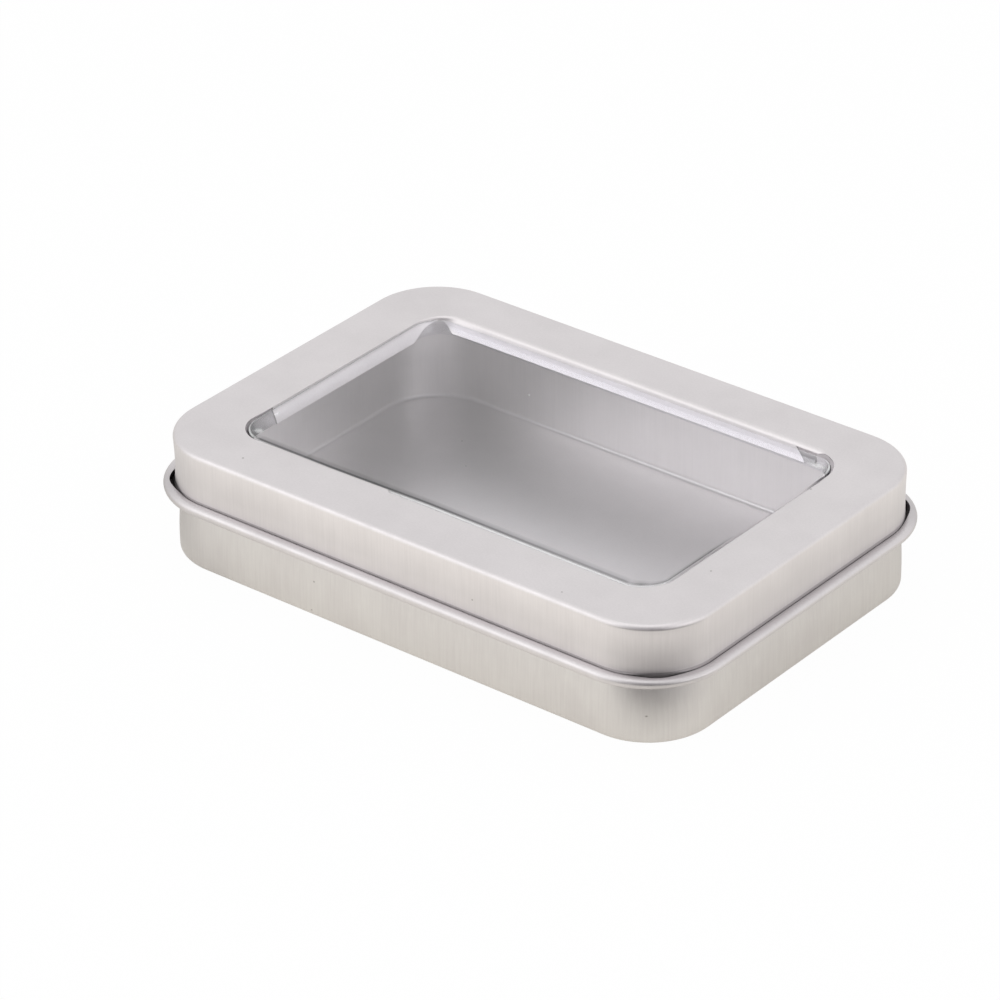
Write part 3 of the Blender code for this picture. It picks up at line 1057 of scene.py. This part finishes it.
# %% [markdown]
# ## Clear PET film
#
# A refracting solid would be slow and noisy for a film this thin, and would bend what
# lies behind by less than its own thickness. So the film does the two things that show:
# it lets light straight through, and it mirrors a little, more at a slant. The share that
# it mirrors follows Schlick's rule and the refractive index of PET, doubled because the
# one surface stands for the film's two, with a power a little under the rule's 5.

# %% Film material
PET_INDEX = 1.575
SLANT_POWER = 4.2
GLINT_STRENGTH = 0.6
WHITENING = 0.75
# Painted glints on the film by its corners, drawn white.
FILM_PAINTED_GLINTS = (
    (32.7, 18.5, 17.7, 1.9, 0.95, 1.0),
    (-32.3, -19.4, 17.7, 1.1, 0.9, 1.0),
    (-33.5, -14.4, 17.7, 0.35, 0.8, 1.0),
)
FILM_DUST = (
    (-9.73, 10.55, 17.73, 0.16, 0.16, 0.2),
    (-8.89, -4.97, 17.73, 0.13, 0.13, 0.2),
    (-4.18, -9.93, 17.73, 0.16, 0.16, 0.2),
)


def mirrored_share(tree):
    """How much of the light the film mirrors, by the slant at which it is seen."""
    head_on = 2 * ((PET_INDEX - 1) / (PET_INDEX + 1)) ** 2
    facing = add_node(tree, "LayerWeight", {"Blend": 0.5})["Facing"]
    grazing = add_node(tree, "Math", {0: facing, 1: SLANT_POWER}, operation="POWER")[0]
    return add_node(tree, "Math", {
        0: grazing, 1: 1 - head_on, 2: head_on,
    }, operation="MULTIPLY_ADD", use_clamp=True)[0]


def whitened_places(tree, place):
    """How white the film is drawn: a painted highlight on its bend, painted glints, and dust."""
    whitened = add_node(tree, "Attribute", attribute_name="bend_painted_highlight")["Fac"]
    glinting = add_node(tree, "Math", {
        0: spots(tree, place, FILM_PAINTED_GLINTS), 1: GLINT_STRENGTH,
    }, operation="MULTIPLY")[0]
    for also in (glinting, spots(tree, place, FILM_DUST)):
        whitened = add_node(tree, "Math", {0: whitened, 1: also}, operation="MAXIMUM")[0]
    return add_node(tree, "Math", {0: whitened, 1: WHITENING}, operation="MULTIPLY")[0]


def make_film():
    """Clear film with painted shade and painted highlights where it is marked, white dust, and mirrors.
    """
    material, tree = empty_material("clear_pet_film")
    place = add_node(tree, "TexCoord")["Object"]
    # Painted shade where the bend is marked dark.
    painted_shade = add_node(tree, "BsdfTransparent", {"Color": linear("#55555A")})[0]
    dust_and_highlight = add_node(tree, "BsdfDiffuse", {"Color": linear("#F2F4F3")})[0]
    mirror = add_node(tree, "BsdfGlossy", {"Color": linear("#FFFFFF"), "Roughness": 0.06})[0]
    dark = add_node(tree, "Attribute", attribute_name="bend_painted_shade")["Fac"]
    surface = add_node(tree, "BsdfTransparent", {"Color": linear("#FDFDFF")})[0]
    whitened, mirrored = whitened_places(tree, place), mirrored_share(tree)
    for share, over in ((dark, painted_shade), (whitened, dust_and_highlight), (mirrored, mirror)):
        surface = add_node(tree, "MixShader", {0: share, 1: surface, 2: over})[0]
    add_node(tree, "OutputMaterial", {"Surface": surface})
    return material


film = make_film()
print("film:", film.name, "with index", PET_INDEX)

# %% Dress the pieces
for piece, faces, body, node, slot in (
    (tray, (tray_tinplate, inside_painted_light), "tray", "base_tray", "tray_tinplate"),
    (lid, (lid_tinplate, lid_inside), "lid", "lid_shell", "lid_tinplate"),
    (pane, (film, film), "lid", "window_pane", "clear_sheet"),
):
    for index, material in enumerate(faces):
        piece.data.materials[index] = material
    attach(piece, body)
    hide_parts(node)
    print(piece.name, "stands for", node)

# %% [markdown]
# ## The studio
#
# The tin stands on a white sweep. Satin metal shows its surroundings and little else, so
# the studio is a white world with three softboxes, and what shapes the metal is what is
# less than white: a soft dark place in the world to the right of the camera, and a painted
# shadow on the far floor on that side, which only gloss sees. They draw the grey round the front corner.
# The floor is seen a little brighter than the lamps make it, as in a retouched catalogue
# picture, but it keeps the tin's shadow.

# %% Directions in the studio
# A zone is how far right of the front and how far up it lies, and the two angles from there
# at which it begins to fade and is gone, all in degrees.
LIT_FLOOR = (0, 0, 60, 85)
LEFT_FLOOR = (-79, 0, 15, 45)
FAR_FLOOR_SHADOW = (48, 0, 20, 56)
DARK_PLACE = (38, 24, 18, 38)


def nearness(tree, direction, azimuth, elevation, inside, outside):
    """1 inside a zone, falling smoothly to 0 outside it."""
    middle = towards(azimuth, elevation)
    along = add_node(tree, "VectorMath", {0: direction, 1: middle}, operation="DOT_PRODUCT")["Value"]
    return add_node(tree, "MapRange", {
        "Value": along,
        "From Min": math.cos(math.radians(outside)), "From Max": math.cos(math.radians(inside)),
    }, interpolation_type="SMOOTHSTEP")["Result"]


print("middle of the dark place:", [round(v, 2) for v in towards(*DARK_PLACE[:2])])

# %% Floor
FLOOR_SIZE = 6.0
FLOOR_DROP = 0.02 * MM
FLOOR_RETOUCH = 0.97
FLOOR_IN_GLOSS = 0.5
FLOOR_GLOSS_DIM = 1.04
FLOOR_LIT_GAIN = 0.20
LEFT_FLOOR_LOSS = 0.38
FLOOR_BRIGHT_TO = 62 * MM
FLOOR_DARK_FROM = 99 * MM


def floor_brightness(tree, outwards):
    """How bright gloss sees the floor: most in front of the tin, least on its left."""
    brightness = FLOOR_GLOSS_DIM
    for zone, gain in ((LIT_FLOOR, FLOOR_LIT_GAIN), (LEFT_FLOOR, -LEFT_FLOOR_LOSS)):
        brightness = add_node(tree, "Math", {
            0: nearness(tree, outwards, *zone), 1: gain, 2: brightness,
        }, operation="MULTIPLY_ADD")[0]
    return brightness


def floor_shade(tree, place, outwards):
    """1 on the far floor's painted shadow, and 0 near the tin and on its other sides."""
    away = add_node(tree, "VectorMath", {0: place}, operation="LENGTH")["Value"]
    distant = add_node(tree, "MapRange", {
        "Value": away, "From Min": FLOOR_BRIGHT_TO, "From Max": FLOOR_DARK_FROM,
    }, interpolation_type="SMOOTHSTEP")["Result"]
    wedge = nearness(tree, outwards, *FAR_FLOOR_SHADOW)
    return add_node(tree, "Math", {0: wedge, 1: distant}, operation="MULTIPLY")[0]


def make_sweep():
    """White paper that the camera and gloss see in light of its own, and that takes shadows."""
    material, tree = empty_material("white_sweep")
    path = add_node(tree, "LightPath")
    place = add_node(tree, "TexCoord")["Object"]
    outwards = add_node(tree, "VectorMath", {0: place}, operation="NORMALIZE")[0]
    surface = add_node(tree, "BsdfDiffuse", {"Color": linear("#F4F4F4")})[0]
    for ray, share, colour, strength in (
        ("Is Camera Ray", FLOOR_RETOUCH, "#FFFFFF", 1.0),
        ("Is Glossy Ray", FLOOR_IN_GLOSS, "#FFFBF0", floor_brightness(tree, outwards)),
        ("Is Glossy Ray", floor_shade(tree, place, outwards), "#4A4548", 1.0),
    ):
        seen = add_node(tree, "Math", {0: path[ray], 1: share}, operation="MULTIPLY")[0]
        light = add_node(tree, "Emission", {"Color": linear(colour), "Strength": strength})[0]
        surface = add_node(tree, "MixShader", {0: seen, 1: surface, 2: light})[0]
    add_node(tree, "OutputMaterial", {"Surface": surface})
    return material


def make_floor():
    """A wide flat sheet just under the tin, and no part of it."""
    half = FLOOR_SIZE / 2
    mesh = bpy.data.meshes.new("floor")
    corners = [(-half, -half, 0), (half, -half, 0), (half, half, 0), (-half, half, 0)]
    mesh.from_pydata(corners, [], [(0, 1, 2, 3)])
    mesh.materials.append(make_sweep())
    floor = add_object("floor", mesh)
    floor.location.z = -FLOOR_DROP
    print("floor:", FLOOR_SIZE, "m wide")


make_floor()

# %% World and softboxes
AMBIENT = 0.82
LAMP_DISTANCE = 600 * MM

# Each lamp's direction, the degrees that it fills in the tin's view, and its brightness.
SOFTBOXES = {
    "left_softbox": (-31, 32, 46, 0.65),
    "right_softbox": (93, 22, 46, 0.44),
    "ceiling_softbox": (20, 82, 44, 0.45),
}


def make_world():
    """A white world: its light on the tin is softer than what the camera and gloss see of it."""
    world = bpy.data.worlds.new("white_studio")
    bpy.context.scene.world = world
    world.use_nodes = True
    world.cycles.sampling_method = "NONE"
    tree = world.node_tree
    tree.nodes.clear()
    path = add_node(tree, "LightPath")
    seen = path["Is Camera Ray"]
    for ray in ("Is Glossy Ray", "Is Transmission Ray"):
        seen = add_node(tree, "Math", {0: seen, 1: path[ray]}, operation="MAXIMUM")[0]
    looking = add_node(tree, "TexCoord")["Generated"]
    in_metal = add_node(tree, "Math", {
        0: nearness(tree, looking, *DARK_PLACE), 1: path["Is Glossy Ray"],
    }, operation="MULTIPLY")[0]
    around = add_node(tree, "Mix", {
        "Factor": in_metal, "A": linear("#FFFFFF"), "B": linear("#9C999C"),
    }, data_type="RGBA")["Result"]
    ambient = add_node(tree, "Background", {"Color": linear("#FFFFFF"), "Strength": AMBIENT})[0]
    backdrop = add_node(tree, "Background", {"Color": around, "Strength": 1.0})[0]
    both = add_node(tree, "MixShader", {0: seen, 1: ambient, 2: backdrop})[0]
    add_node(tree, "OutputWorld", {"Surface": both})


def make_softbox(name, azimuth, elevation, spread, brightness):
    """A square lamp that faces the tin and fills this many degrees of its view."""
    size = 2 * LAMP_DISTANCE * math.tan(math.radians(spread / 2))
    data = bpy.data.lights.new(name, "AREA")
    data.shape = "SQUARE"
    data.size = size
    data.energy = brightness * math.pi * size ** 2
    lamp = add_object(name, data)
    aim = towards(azimuth, elevation)
    lamp.location = aim * LAMP_DISTANCE
    lamp.rotation_euler = aim.to_track_quat("Z", "Y").to_euler()
    print(name, f"{size:.2f} m wide, {data.energy:.2f} W")


make_world()
for name, setting in SOFTBOXES.items():
    make_softbox(name, *setting)
bpy.context.scene.view_settings.view_transform = "Standard"

# %% Finish
import json
